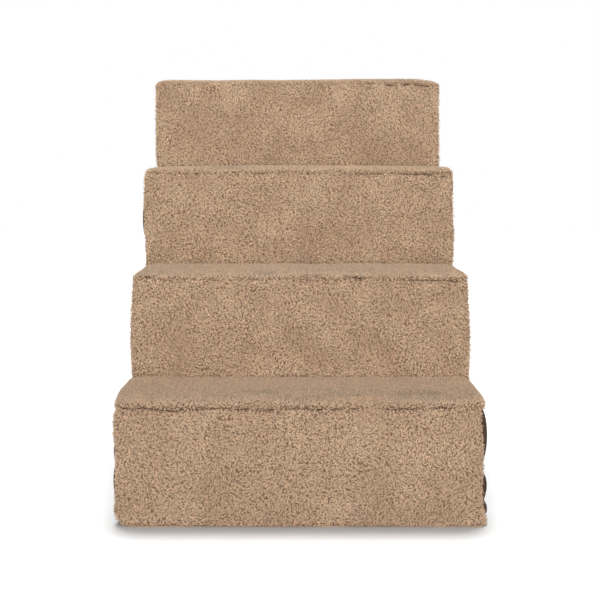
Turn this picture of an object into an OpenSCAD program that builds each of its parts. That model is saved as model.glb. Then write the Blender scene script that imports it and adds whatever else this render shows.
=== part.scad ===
// Four-step pet stairs: a snap-together moulded frame under a zip-on fleece and suede cover.
// Millimetres. X runs across the stairs, they climb towards +Y, and Z is up.
// The origin is at the middle of the footprint, on the floor.

/* [Steps] */
// Height of each step of the frame
rise = 125; // [100:1:150]
// Depth of each step, from riser to riser
run = 150; // [120:1:190]
// Width across the two side frames
frame_w = 386; // [320:1:460]

/* [Moulded frame] */
// Thickness of the skin of each side frame
side_t = 3; // [2:0.5:4]
// Thickness of the tread, riser and rail boards
board_t = 3; // [2:0.5:4]
// Thickness of the ledge that the boards snap on
ledge_t = 3; // [2:0.5:4]
// Width of that ledge across the stairs
ledge_w = 18; // [16:1:24]
// Thickness of every rib
rib_t = 2; // [1.5:0.5:3]
// Widest cell between the ribs of a side frame
rib_pitch = 54; // [44:1:58]
// Height of the ribs of a side frame
side_rib_h = 12; // [8:1:16]
// Height of the ribs of a board
board_rib_h = 10; // [6:1:14]
// Width of a rear or base rail
rail_w = 56; // [44:1:70]
// Width of a snap peg along the edge of its board
peg_w = 12; // [8:1:16]
// Length of a snap peg across the stairs
peg_l = 8; // [6:1:10]
// Clearance round each peg, stem and board end
fit = 0.2; // [0.1:0.05:0.3]

/* [Rubber feet] */
// Height of the feet below the frame
foot_h = 3; // [2.5:0.5:6]
// Radius of a foot
foot_r = 6; // [5:0.5:7]
// Radius of the stem that plugs into the ledge
stem_r = 2.5; // [2:0.25:3]
// Gap between a foot and the elastic hem beside it
foot_gap = 1; // [0.5:0.25:2]

/* [Fleece panels] */
// Thickness of the padded fleece on a tread
tread_fleece_t = 8; // [6:0.5:12]
// Thickness of the fleece on a riser
riser_fleece_t = 6; // [4:0.5:9]
// Height that the middle of a panel swells by
crown = 1.4; // [0.5:0.1:3]
// How far a tread's nosing stands in front of its riser panel
nosing = 1.5; // [0:0.5:4]
// Radius of the soft nosing
nosing_r = 11; // [8:0.5:14]
// Radius of the soft ends of a panel
end_r = 8; // [5:0.5:12]
// How far the fleece reaches past the side covers
fleece_lap = 0.7; // [0:0.1:2]

/* [Suede panels] */
// Thickness of a side cover
side_cover_t = 3.5; // [2:0.25:5]
// Thickness of the two back covers
back_cover_t = 2.5; // [2:0.25:4]
// Gap between the covers and the frame
cover_gap = 0.3; // [0.2:0.05:0.5]
// Thickness of the elastic hem under the frame
hem_t = 1.5; // [1:0.25:2]
// Width of the elastic hem
hem_w = 8; // [5:0.5:8]

/* [Zip] */
// Distance from the floor to the lower end of the zip
zip_z0 = 22; // [20:1:40]
// Distance from the top of the frame to the upper end of the zip
zip_drop = 30; // [20:1:60]
// Width of the slot between the back covers
zip_slot_w = 13; // [12:0.5:18]
// Width of each tape
tape_w = 12; // [9:0.5:16]
// Thickness of each tape
tape_t = 0.8; // [0.6:0.1:1]
// Pitch of the teeth
tooth_pitch = 3; // [2.5:0.25:4]
// Length of a tooth across the zip
tooth_l = 2.8; // [2.2:0.1:3.4]
// Thickness of the row of teeth
tooth_t = 2.4; // [2:0.1:3]
// Gap between the two rows, in which the bridge of the slider runs
row_gap = 1.4; // [1.2:0.1:1.8]
// Running clearance of the slider and the pull
play = 0.3; // [0.25:0.05:0.35]
// Length of the slider along the zip
slider_l = 13; // [11:0.5:18]
// Thickness of each plate of the slider
plate_t = 1.4; // [1:0.1:1.8]
// Thickness of the turned-in edges of the slider
flange_t = 1; // [0.8:0.1:1.4]
// Length of the pull
pull_l = 26; // [20:1:32]
// Width of the pull
pull_w = 8; // [7.5:0.5:10]
// Thickness of the pull
pull_t = 1.4; // [1.2:0.1:1.6]

/* [Hidden] */
$fn = 48;
// Number of steps, one tread and one riser each in the list of nodes below
step_count = 4;
// Overrun of every cut
cut = 1;
// How far the rear rails lie inside the back edge of the side frames
rail_inset = 4;
// Radius of the edge where a riser panel is sewn to the tread above it
seam_r = 5;
// Share of a panel's thickness that stands straight up at its seams
tread_wall_share = 0.2;
riser_wall_share = 0.4;
inner_x = frame_w / 2 - side_t;
board_l = 2 * (inner_x - fit);
base_z = foot_h;
cover_z0 = foot_h - hem_t;
fleece_w = frame_w + 2 * (cover_gap + side_cover_t + fleece_lap);
inside_w = frame_w + 2 * cover_gap;
top_z = step_count * rise;

// Depth of the whole object, from the lowest nosing to the outside of the zip's lug
slider_out = tooth_t / 2 - tape_t / 2 + play + plate_t;
lug_room = pull_t + 2 * play;
// Thickness of the lug over the pull's crossbar
lug_t = 1.1;
slider_proud = slider_out + lug_room + lug_t;
frame_d = step_count * run - riser_fleece_t;
total_d = nosing + riser_fleece_t + frame_d + cover_gap + slider_proud;
front_y = -total_d / 2;
riser_y0 = front_y + nosing + riser_fleece_t;
back_y = riser_y0 + frame_d;
panel_y = back_y + cover_gap;
cover_y = panel_y + back_cover_t;

// Zip stations
zip_z1 = top_z - zip_drop;
// Length of each stop along the zip
stop_l = 3;
teeth_z0 = zip_z0 + stop_l;
teeth_z1 = zip_z1 - stop_l;
tooth_count = floor((teeth_z1 - teeth_z0) / tooth_pitch);
tooth_x0 = row_gap / 2;
tooth_x1 = tooth_x0 + tooth_l;
tape_mid_y = panel_y - tape_t / 2;
slider_x = tooth_x1 + play + flange_t;
slider_z = teeth_z1 - slider_l / 2 - play;
bar_y = panel_y + slider_out + play + pull_t / 2;

tan_fleece = [0.72, 0.60, 0.48];
brown_suede = [0.24, 0.16, 0.12];
frame_grey = [0.83, 0.82, 0.79];
foot_black = [0.12, 0.12, 0.12];
tape_brown = [0.20, 0.13, 0.10];
tooth_brown = [0.15, 0.10, 0.08];
zip_bronze = [0.45, 0.40, 0.35];

// Front plane of riser board k, counted from 1
function riser_y(k) = riser_y0 + (k - 1) * run;

// Side view of the stairs, drawn in by i all round and by ib at the back, from floor height z0
function stair(i, ib, z0, yb) = concat(
    [[riser_y(1) + i, z0 + i]],
    [for (k = [1 : step_count]) each [
        [riser_y(k) + i, k * rise - i],
        [k < step_count ? riser_y(k + 1) + i : yb - ib, k * rise - i]
    ]],
    [[yb - ib, z0 + i]]
);

// Stands a side view up in the YZ plane, from x0 outwards
module slab(x0, t)
    translate([x0, 0, 0]) rotate([90, 0, 90]) linear_extrude(t) children();

// Moulded frame

// Evenly spaced places between a and b, no further apart than the pitch, without the ends
function between(a, b, pitch) =
    let (n = ceil((b - a) / pitch)) [for (i = [1 : n - 1]) a + (b - a) * i / n];

peg_shares = [0.25, 0.75];
foot_shares = [0.05, 0.5, 0.95];
base_rail_middle_share = 0.72;
rear_rail_middle_share = 0.5;
function base_rail_y(share) = riser_y(1) + share * (frame_d - rail_inset - rail_w);
function rear_rail_z(share) = base_z + board_t + ledge_t
    + share * (top_z - base_z - 2 * board_t - 2 * ledge_t - rail_w);

// The hole in a ledge for one peg of a board, with clearance all round
module peg_hole()
    translate([inner_x - ledge_w / 2 - peg_l / 2 - fit, -peg_w / 2 - fit, -ledge_t - cut])
        cube([peg_l + 2 * fit, peg_w + 2 * fit, ledge_t + 2 * cut]);

// Where the boards go: the outer face of each lies on its own plane of the stairs
module on_tread(k) translate([0, riser_y(k), k * rise]) children();
module on_riser(k) translate([0, riser_y(k), riser_foot(k)]) rotate([90, 0, 0]) children();
module on_back(z)
    translate([0, back_y - rail_inset, z]) mirror([0, 1, 0]) rotate([90, 0, 0]) children();
module on_base(y) translate([0, y, base_z]) mirror([0, 0, 1]) children();
function riser_foot(k) = k == 1 ? base_z + board_t : (k - 1) * rise;
function tread_d(k) = k < step_count ? run + board_t : frame_d - (step_count - 1) * run;
function riser_h(k) = k * rise - board_t - riser_foot(k);

// Every peg hole of a side frame
module peg_holes() {
    for (k = [1 : step_count], s = peg_shares) {
        on_tread(k) translate([0, s * tread_d(k), -board_t]) peg_hole();
        on_riser(k) translate([0, s * riser_h(k), -board_t]) peg_hole();
    }
    for (z = [rear_rail_z(0), rear_rail_z(rear_rail_middle_share), rear_rail_z(1)], s = peg_shares)
        on_back(z) translate([0, s * rail_w, -board_t]) peg_hole();
    for (y = [base_rail_y(0), base_rail_y(base_rail_middle_share)], s = peg_shares)
        on_base(y) translate([0, s * rail_w, -board_t]) peg_hole();
}

// Skin, ledge round the edge and a waffle of ribs, moulded in one piece
module side_frame() color(frame_grey) {
    ledge_x = inner_x - ledge_w;
    rib_in = board_t + ledge_t;
    slab(inner_x, side_t) polygon(stair(0, 0, base_z, back_y));
    difference() {
        slab(ledge_x, ledge_w) difference() {
            polygon(stair(board_t, rail_inset + board_t, base_z, back_y));
            polygon(stair(rib_in, rail_inset + rib_in, base_z, back_y));
        }
        peg_holes();
        feet_at() cylinder(r = stem_r + fit, h = foot_h + rib_in + cut);
    }
    slab(inner_x - side_rib_h, side_rib_h) intersection() {
        polygon(stair(rib_in, rail_inset + rib_in, base_z, back_y));
        union() {
            for (y = between(riser_y(1), back_y, rib_pitch))
                translate([y - rib_t / 2, base_z]) square([rib_t, top_z - base_z]);
            for (z = between(base_z, top_z, rib_pitch))
                translate([riser_y(1), z - rib_t / 2]) square([frame_d, rib_t]);
        }
    }
}
module left_side_frame() mirror([1, 0, 0]) side_frame();
module right_side_frame() side_frame();

// A board in its own plane: outer face at zero, ribs and pegs behind it
module board(w) {
    rib_l = board_l - 2 * (ledge_w + fit);
    translate([-board_l / 2, 0, -board_t]) cube([board_l, w, board_t]);
    for (y = between(0, w, rib_pitch))
        translate([-rib_l / 2, y - rib_t / 2, -board_t - board_rib_h])
            cube([rib_l, rib_t, board_rib_h + board_t / 2]);
    for (s = peg_shares, m = [0, 1]) mirror([m, 0, 0])
        translate([inner_x - ledge_w / 2 - peg_l / 2, s * w - peg_w / 2, -board_t - ledge_t])
            cube([peg_l, peg_w, ledge_t + board_t / 2]);
}
module tread_board(k) color(frame_grey) on_tread(k) board(tread_d(k));
module riser_board(k) color(frame_grey) on_riser(k) board(riser_h(k));
module rear_rail(share) color(frame_grey) on_back(rear_rail_z(share)) board(rail_w);
module base_rail(share) color(frame_grey) on_base(base_rail_y(share)) board(rail_w);

// Push-in rubber feet under the ledges, each a disc with its stem
foot_x = inside_w / 2 - hem_w - foot_gap - foot_r;
function foot_y(share) = riser_y(1) + rail_w + foot_r + board_t
    + share * (frame_d - 2 * rail_w - 2 * foot_r - 2 * board_t);
module feet_at() for (s = foot_shares) translate([foot_x, foot_y(s), 0]) children();
module rubber_feet() color(foot_black) for (m = [0, 1]) mirror([m, 0, 0]) feet_at() {
    cylinder(r = foot_r, h = foot_h + board_t);
    cylinder(r = stem_r, h = foot_h + board_t + ledge_t);
}

// Fleece panels

// Facets of a rounded edge, and of the crown across and along a panel
arc_steps = 4;
crown_steps_across = 8;
crown_steps_along = 6;
function arc_share(s, r) = s >= r ? 1 : sqrt(max(0, 1 - pow(1 - s / r, 2)));
function hump(q) = q <= 0 || q >= 1 ? 0 : 4 * q * (1 - q);
function arc_stations(r) = r > 0 ? [for (i = [0 : arc_steps - 1]) r * (1 - cos(90 * i / arc_steps))] : [];
function stations(l, r0, r1, n) = concat(
    arc_stations(r0),
    [for (i = [0 : n]) r0 + (l - r0 - r1) * i / n],
    [for (i = [1 : 1 : len(arc_stations(r1))]) l - arc_stations(r1)[len(arc_stations(r1)) - i]]
);

// A padded panel w wide and l long over a flat back, with a rim, soft edges and a crown.
// r0 and r1 round its near and far edges, and a plain flap of length flap lies past the far edge.
module pad(w, l, t, rim, r0, r1, flap) {
    xs = stations(w, end_r, end_r, crown_steps_across);
    ys = concat(stations(l, r0, r1, crown_steps_along), flap > 0 ? [l + flap] : []);
    nx = len(xs);
    ny = len(ys);
    function high(x, y) = rim + (t - rim) * min(arc_share(x, end_r), arc_share(w - x, end_r))
        * arc_share(y, r0) * (r1 > 0 ? arc_share(l - y, r1) : 1)
        + crown * hump(x / w) * hump(y / l);
    ring = concat(
        [for (i = [0 : nx - 1]) [i, 0]],
        [for (j = [1 : ny - 1]) [nx - 1, j]],
        [for (i = [nx - 2 : -1 : 0]) [i, ny - 1]],
        [for (j = [ny - 2 : -1 : 1]) [0, j]]
    );
    nr = len(ring);
    top = nx * ny;
    points = concat(
        [for (y = ys, x = xs) [x - w / 2, y, high(x, y)]],
        [for (p = ring) [xs[p[0]] - w / 2, ys[p[1]], 0]],
        [[0, l / 2, 0]]
    );
    faces = concat(
        [for (j = [0 : ny - 2], i = [0 : nx - 2]) let (a = j * nx + i) each [
            [a, a + nx, a + nx + 1], [a, a + nx + 1, a + 1]
        ]],
        [for (r = [0 : nr - 1]) let (q = (r + 1) % nr,
            a = ring[r][1] * nx + ring[r][0], b = ring[q][1] * nx + ring[q][0]) each [
            [top + r, a, b], [top + r, b, top + q], [top + nr, top + r, top + q]
        ]]
    );
    polyhedron(points, faces);
}

module tread_fleece(k) color(tan_fleece) {
    last = k == step_count;
    l = last ? cover_y - front_y - (k - 1) * run : run + nosing;
    translate([0, front_y + (k - 1) * run, k * rise])
        pad(fleece_w, l, tread_fleece_t, tread_wall_share * tread_fleece_t, nosing_r,
            last ? nosing_r : 0, last ? 0 : riser_fleece_t);
}
module riser_fleece(k) color(tan_fleece) {
    z0 = k == 1 ? cover_z0 : (k - 1) * rise + tread_fleece_t;
    translate([0, riser_y(k), z0]) rotate([90, 0, 0])
        pad(fleece_w, k * rise - z0, riser_fleece_t, riser_wall_share * riser_fleece_t,
            k == 1 ? seam_r : 0, seam_r, 0);
}

// Suede panels and hem

module side_cover() color(brown_suede)
    slab(inside_w / 2, side_cover_t) polygon(stair(0, 0, cover_z0, cover_y));
module left_side_cover() mirror([1, 0, 0]) side_cover();
module right_side_cover() side_cover();

// Half of the back, cut out for the zip along its inner edge
module back_cover() color(brown_suede)
    translate([0, cover_y, 0]) rotate([90, 0, 0]) linear_extrude(back_cover_t) difference() {
        translate([0, cover_z0]) square([inside_w / 2, top_z - cover_z0]);
        translate([-cut, zip_z0]) square([zip_slot_w / 2 + cut, zip_z1 - zip_z0]);
    }
module back_cover_left() mirror([1, 0, 0]) back_cover();
module back_cover_right() back_cover();

// A flat band that the covers are sewn to, drawn in under the frame all round
module elastic_hem() color(brown_suede)
    translate([0, 0, cover_z0]) linear_extrude(hem_t) difference() {
        translate([-inside_w / 2, riser_y(1)]) square([inside_w, panel_y - riser_y(1)]);
        translate([-inside_w / 2 + hem_w, riser_y(1) + hem_w])
            square([inside_w - 2 * hem_w, panel_y - riser_y(1) - 2 * hem_w]);
    }

// Zip

module zip_tape() color(tape_brown)
    translate([tooth_x1, panel_y - tape_t, zip_z0]) cube([tape_w, tape_t, zip_z1 - zip_z0]);
module zip_tape_left() mirror([1, 0, 0]) zip_tape();
module zip_tape_right() zip_tape();

// One row of moulded teeth, joined by a bead along the tape
module teeth_row(shift) color(tooth_brown) {
    bead_w = tooth_l / 2;
    tooth_w = tooth_pitch / 2;
    bead_x = tooth_x1 - bead_w;
    row_l = teeth_z1 - teeth_z0;
    outline = concat(
        [[tooth_x1, 0], [tooth_x1, row_l], [bead_x, row_l]],
        [for (i = [tooth_count - 1 : -1 : 0]) let (z = (i + shift) * tooth_pitch) each [
            [bead_x, z + tooth_w], [tooth_x0, z + tooth_w], [tooth_x0, z], [bead_x, z]
        ]],
        [[bead_x, 0]]
    );
    translate([0, tape_mid_y + tooth_t / 2, teeth_z0])
        rotate([90, 0, 0]) linear_extrude(tooth_t) polygon(outline);
}
// Where each row starts, as shares of a tooth's pitch, so that the rows interlock
row_shares = [0.1, 0.45];
module zip_teeth_left() mirror([1, 0, 0]) teeth_row(row_shares[0]);
module zip_teeth_right() teeth_row(row_shares[1]);

module zip_stops() color(tooth_brown) {
    translate([-tooth_x1, tape_mid_y - tooth_t / 2, zip_z0])
        cube([2 * tooth_x1, tooth_t, stop_l]);
    for (m = [0, 1]) mirror([m, 0, 0])
        translate([tooth_x0, tape_mid_y - tooth_t / 2, teeth_z1]) cube([tooth_l, tooth_t, stop_l]);
}

// Two plates joined by a bridge between the rows, with turned-in edges and a lug for the pull
module zip_slider() color(zip_bronze) translate([0, 0, slider_z - slider_l / 2]) {
    out_y = tape_mid_y + tooth_t / 2 + play;
    in_y = tape_mid_y - tooth_t / 2 - play - plate_t;
    bridge_w = row_gap - 2 * play;
    bridge_l = slider_l / 4;
    post_w = pull_w / 3;
    post_l = slider_l / 6;
    for (y = [out_y, in_y])
        translate([-slider_x, y, 0]) cube([2 * slider_x, plate_t, slider_l]);
    translate([-bridge_w / 2, in_y, slider_l - bridge_l])
        cube([bridge_w, out_y - in_y + plate_t, bridge_l]);
    for (m = [0, 1]) mirror([m, 0, 0]) {
        translate([slider_x - flange_t, panel_y + play, 0])
            cube([flange_t, out_y - panel_y - play + plate_t, slider_l]);
        translate([slider_x - flange_t, in_y, 0])
            cube([flange_t, panel_y - tape_t - play - in_y, slider_l]);
    }
    translate([-post_w / 2, out_y, 0]) difference() {
        cube([post_w, plate_t + lug_room + lug_t, slider_l]);
        translate([-cut, plate_t, post_l]) cube([post_w + 2 * cut, lug_room, slider_l - 2 * post_l]);
    }
}

// Crossbar under the lug, two arms and a flat tab with a hole
module zip_pull() color(zip_bronze) translate([0, bar_y, slider_z]) rotate([90, 0, 0]) {
    window_w = pull_w / 3 + 2 * play;
    window_l = slider_l / 2 + play;
    hole_r = pull_w / 5;
    difference() {
        translate([-pull_w / 2, -pull_l, -pull_t / 2]) cube([pull_w, pull_l, pull_t]);
        translate([-window_w / 2, -window_l, -pull_t / 2 - cut])
            cube([window_w, window_l + cut, pull_t + 2 * cut]);
        translate([0, hole_r * 2 - pull_l, -pull_t / 2 - cut]) cylinder(r = hole_r, h = pull_t + 2 * cut);
    }
    translate([-pull_w / 2, 0, 0]) rotate([0, 90, 0]) cylinder(r = pull_t / 2, h = pull_w);
}

left_side_frame();
right_side_frame();
tread_board(1);  // tread_board_1
tread_board(2);  // tread_board_2
tread_board(3);  // tread_board_3
tread_board(4);  // tread_board_4
riser_board(1);  // riser_board_1
riser_board(2);  // riser_board_2
riser_board(3);  // riser_board_3
riser_board(4);  // riser_board_4
rear_rail(1);  // rear_rail_top
rear_rail(rear_rail_middle_share);  // rear_rail_middle
rear_rail(0);  // rear_rail_bottom
base_rail(0);  // base_rail_front
base_rail(base_rail_middle_share);  // base_rail_middle
rubber_feet();
tread_fleece(1);  // tread_fleece_1
tread_fleece(2);  // tread_fleece_2
tread_fleece(3);  // tread_fleece_3
tread_fleece(4);  // tread_fleece_4
riser_fleece(1);  // riser_fleece_1
riser_fleece(2);  // riser_fleece_2
riser_fleece(3);  // riser_fleece_3
riser_fleece(4);  // riser_fleece_4
left_side_cover();
right_side_cover();
back_cover_left();
back_cover_right();
elastic_hem();
zip_tape_left();
zip_tape_right();
zip_teeth_left();
zip_teeth_right();
zip_stops();
zip_slider();
zip_pull();
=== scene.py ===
"""Looks of four-step pet stairs: fleece treads and risers, suede sides and back, one zip, a moulded frame.

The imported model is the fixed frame. Lengths are in metres in its axes: X across the stairs, the steps
climb towards +Y, Z is up, and the origin is on the floor in the middle of the footprint.
"""

import logging
import math
from dataclasses import dataclass, field
from enum import Enum

import bmesh
import bpy
from bmesh.types import BMEdge, BMesh, BMVert
from bpy.types import Collection, Material, Node, NodeSocket, NodeTree, Object
from mathutils import Matrix, Vector, noise
from mathutils.bvhtree import BVHTree


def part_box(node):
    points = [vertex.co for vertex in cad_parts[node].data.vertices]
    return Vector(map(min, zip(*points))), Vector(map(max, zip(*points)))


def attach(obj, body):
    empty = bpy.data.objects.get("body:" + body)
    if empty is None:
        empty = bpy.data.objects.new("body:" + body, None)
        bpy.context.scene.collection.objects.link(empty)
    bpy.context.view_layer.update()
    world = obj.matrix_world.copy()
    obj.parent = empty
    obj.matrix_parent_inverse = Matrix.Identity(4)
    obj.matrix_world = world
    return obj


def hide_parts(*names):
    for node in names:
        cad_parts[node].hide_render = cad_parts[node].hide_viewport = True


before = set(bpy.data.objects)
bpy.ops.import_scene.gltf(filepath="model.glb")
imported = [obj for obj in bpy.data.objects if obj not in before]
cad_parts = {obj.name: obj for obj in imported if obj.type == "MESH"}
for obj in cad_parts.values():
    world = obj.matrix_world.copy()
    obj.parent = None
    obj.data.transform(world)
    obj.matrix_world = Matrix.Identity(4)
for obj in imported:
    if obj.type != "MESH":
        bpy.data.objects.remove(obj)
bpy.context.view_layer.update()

log = logging.getLogger("pet_stairs")
logging.basicConfig(level=logging.INFO, format="%(message)s")

MM = 0.001
STEPS = 4
BODY = "stairs"

Finishes = dict[str, Material]
Source = Node | NodeSocket
Pair = tuple[float, float]
Table = tuple[Pair, ...]
Runs = list[tuple[Vector, Vector]]


class Side(Enum):
    """The two ends of the stairs, as the sign of X."""

    LEFT = -1
    RIGHT = 1


class Face(Enum):
    """The two kinds of fleece panel."""

    TREAD = "tread"
    RISER = "riser"


def linear(code: str) -> tuple[float, float, float, float]:
    """Turns an sRGB hex colour into a linear one.

    Args:
        code: six hex digits, such as "B8946F".

    Returns:
        Linear red, green, blue and an alpha of 1.
    """
    shares = [int(code[i : i + 2], 16) / 255 for i in (0, 2, 4)]
    return (*[c / 12.92 if c <= 0.04045 else ((c + 0.055) / 1.055) ** 2.4 for c in shares], 1.0)


def set_inputs(tree: NodeTree, node: Node, inputs: dict) -> None:
    """Sets or links sockets of a node.

    Args:
        tree: the tree that the node is in.
        node: the node.
        inputs: socket names or numbers, each with a value to set, an output socket to link, or a node
            whose first output is linked.
    """
    for name, value in inputs.items():
        if isinstance(value, Node):
            value = value.outputs[0]
        if isinstance(value, NodeSocket):
            tree.links.new(value, node.inputs[name])
        else:
            node.inputs[name].default_value = value


def add_node(tree: NodeTree, kind: str, inputs: dict | None = None, **settings) -> Node:
    """Adds one node to a shader or geometry tree.

    Args:
        tree: the tree it goes into.
        kind: Blender's name of the node type.
        inputs: what set_inputs takes.
        settings: the node's own properties, set before its sockets.

    Returns:
        The new node.
    """
    node = tree.nodes.new(kind)
    for name, value in settings.items():
        setattr(node, name, value)
    set_inputs(tree, node, inputs or {})
    return node


def start_material(name: str, **sockets) -> tuple[Material, NodeTree, Node]:
    """Makes a material with one Principled shader.

    Args:
        name: the material's name.
        sockets: values of the shader's sockets, with underscores for spaces.

    Returns:
        The material, its node tree and the shader node.
    """
    material = bpy.data.materials.new(name)
    material.use_nodes = True
    tree = material.node_tree
    shader = tree.nodes["Principled BSDF"]
    set_inputs(tree, shader, {key.replace("_", " "): value for key, value in sockets.items()})
    return material, tree, shader


def add_texture(tree: NodeTree, kind: str, size_mm: float, inputs: dict | None = None, **settings) -> Node:
    """Adds a texture that lies on the object's own coordinates.

    Args:
        tree: the material's tree.
        kind: Blender's name of the texture node.
        size_mm: the size of its pattern, in millimetres.
        inputs: further sockets of the texture.
        settings: the texture's own properties.

    Returns:
        The texture node.
    """
    place = add_node(tree, "ShaderNodeTexCoord").outputs["Object"]
    return add_node(tree, kind, {"Vector": place, "Scale": 1 / (size_mm * MM), **(inputs or {})}, **settings)


def blend(tree: NodeTree, value: Source, low: str, high: str, limits: Pair = (0, 1)) -> NodeSocket:
    """Mixes two colours by where a value lies between two limits.

    Args:
        tree: the material's tree.
        value: what steers the mix.
        low: hex code of the colour at the first limit.
        high: hex code of the colour at the second one.
        limits: the two limits.

    Returns:
        The mixed colour.
    """
    share = add_node(tree, "ShaderNodeMapRange", {0: value, 1: limits[0], 2: limits[1]})
    colours = {0: share, 6: linear(low), 7: linear(high)}
    return add_node(tree, "ShaderNodeMix", colours, data_type="RGBA").outputs[2]


def shade(tree: NodeTree, colour: Source | tuple, value: Source, span: Pair, limits: Pair = (0, 1)) -> Node:
    """Darkens and lightens a colour by a value.

    Args:
        tree: the material's tree.
        colour: the colour.
        value: what steers the shade.
        span: the factors at the value's two limits.
        limits: the two limits.

    Returns:
        The node that gives the shaded colour.
    """
    mapped = {0: value, 1: limits[0], 2: limits[1], 3: span[0], 4: span[1]}
    factor = add_node(tree, "ShaderNodeMapRange", mapped)
    return add_node(tree, "ShaderNodeVectorMath", {0: colour, 3: factor}, operation="SCALE")


def work_out(tree: NodeTree, vector: Source, *steps: tuple[str, Source | tuple | float]) -> Source:
    """Takes a vector through a row of vector maths nodes.

    Args:
        tree: the tree they go into.
        vector: what the first node takes.
        steps: each node's operation and its other operand.

    Returns:
        The last node.
    """
    for operation, operand in steps:
        other = 3 if operation == "SCALE" else 1
        vector = add_node(tree, "ShaderNodeVectorMath", {0: vector, other: operand}, operation=operation)
    return vector


def add_object(name: str, bm: BMesh, *materials: Material) -> Object:
    """Turns a finished bmesh into a smooth-shaded object at the origin.

    Args:
        name: the piece's name.
        bm: its mesh, which is freed.
        materials: its materials, in the order of their face indices.

    Returns:
        The object, linked to the scene.
    """
    mesh = bpy.data.meshes.new(name)
    bm.to_mesh(mesh)
    bm.free()
    for material in materials:
        mesh.materials.append(material)
    mesh.shade_smooth()
    piece = bpy.data.objects.new(name, mesh)
    bpy.context.scene.collection.objects.link(piece)
    return piece


def seat(piece: Object, node: str = "", body: str = BODY) -> None:
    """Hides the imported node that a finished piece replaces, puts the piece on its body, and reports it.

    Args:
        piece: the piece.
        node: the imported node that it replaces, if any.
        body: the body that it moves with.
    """
    if node:
        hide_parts(node)
    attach(piece, body)
    log.info("%s: %d faces", piece.name, len(piece.data.polygons))


def seat_sheet(piece: Object, slot: str, node: str, flat: Pair, **how) -> None:
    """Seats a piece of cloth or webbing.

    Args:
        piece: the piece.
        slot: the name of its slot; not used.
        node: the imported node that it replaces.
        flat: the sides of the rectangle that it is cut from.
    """
    seat(piece, node)
    log.info("%s: cut %.0f x %.0f mm", piece.name, flat[0] / MM, flat[1] / MM)


def add_back(bm: BMesh) -> list[BMVert]:
    """Closes a sheet into a solid whose back still lies on its face, and returns the back's vertices."""
    walls = bmesh.ops.extrude_face_region(bm, geom=list(bm.faces))["geom"]
    return [v for v in walls if isinstance(v, BMVert)]


def stations(length: float, near: float, far: float, pitch: float, arc: int = 5) -> list[float]:
    """Places along a panel, close together near its two edges and even between.

    Args:
        length: the panel's length.
        near: how far the close lines reach in from its near edge, or 0.
        far: the same from its far edge.
        pitch: the widest cell between the two.
        arc: cells in each close stretch.

    Returns:
        Distances from the near edge, from 0 to the length.
    """
    bend = [1 - math.cos(math.pi / 2 * i / arc) for i in range(arc)]
    cells = math.ceil((length - near - far) / pitch)
    flat = [near + (length - near - far) * i / cells for i in range(cells + 1)]
    return [near * s for s in bend if near] + flat + [length - far * s for s in reversed(bend) if far]


def lined(places: list[float], pitch: float) -> list[float]:
    """Adds even places between the given ones, so that no cell is wider than the pitch."""
    between_them = [a + d for a, b in zip(places, places[1:]) for d in stations(b - a, 0, 0, pitch)[1:]]
    return [places[0], *between_them]


def grid_sheet(across: list[float], along: list[float]) -> BMesh:
    """A flat sheet of quads whose lines lie at the given places.

    Args:
        across: places of its lines along X.
        along: places of its lines along Y.

    Returns:
        The sheet as a bmesh at Z = 0.
    """
    bm = bmesh.new()
    nx, ny = len(across) - 1, len(along) - 1
    bmesh.ops.create_grid(bm, x_segments=nx, y_segments=ny, size=0.5)
    for v in bm.verts:
        v.co = (across[round((v.co.x + 0.5) * nx)], along[round((v.co.y + 0.5) * ny)], 0)
    return bm


def roll(distance: float, radius: float) -> float:
    """Share of the full height that a rounded edge has at a distance in from it."""
    return 1.0 if distance >= radius else math.sqrt(max(0.0, 1 - (1 - max(distance, 0) / radius) ** 2))


def hump(share: float) -> float:
    """A smooth rise from 0 to 1 and back as the share goes from 0 to 1."""
    return max(0.0, 4 * share * (1 - share))


def between(table: Table, place: float) -> float:
    """Reads a short table of (place, value) pairs, with straight lines between them."""
    for (a, low), (b, high) in zip(table, table[1:]):
        if place <= b:
            return low + (high - low) * max(0.0, place - a) / (b - a)
    return table[-1][1]


@dataclass(frozen=True)
class Swell:
    """How a sewn panel fills out in the cloth simulation.

    The moves are scaled down together until the largest is the cap, so their shape stays.
    """

    cap: float
    pressure: float = 4.0
    shrink: float = 0.0

    def hold(self, piece: Object, held: list[int], frames: int) -> None:
        """Gives a piece its cloth.

        Args:
            piece: a closed mesh at the origin.
            held: the vertices sewn or glued down, which don't move.
            frames: how many frames the simulation runs.
        """
        piece.vertex_groups.new(name="held").add(held, 1.0, "REPLACE")
        cloth = piece.modifiers.new("swell", "CLOTH")
        cloth.settings.vertex_group_mass = "held"
        cloth.settings.use_pressure = True
        cloth.settings.uniform_pressure_force = self.pressure
        cloth.settings.shrink_min = self.shrink
        cloth.settings.effector_weights.gravity = 0
        cloth.point_cache.frame_start, cloth.point_cache.frame_end = 1, frames

    def keep(self, piece: Object) -> None:
        """Writes the simulated shape into the piece's mesh."""
        blown = piece.evaluated_get(bpy.context.evaluated_depsgraph_get()).data
        moves = [b.co - a.co for a, b in zip(piece.data.vertices, blown.vertices)]
        furthest = max(m.length for m in moves)
        scale = min(1.0, self.cap / furthest)
        piece.modifiers.clear()
        piece.vertex_groups.clear()
        for vertex, move in zip(piece.data.vertices, moves):
            vertex.co += move * scale
        log.info("%s swells %.1f mm, scaled by %.2f", piece.name, furthest / MM, scale)


Sewn = tuple[Object, Swell, list[int]]


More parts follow.
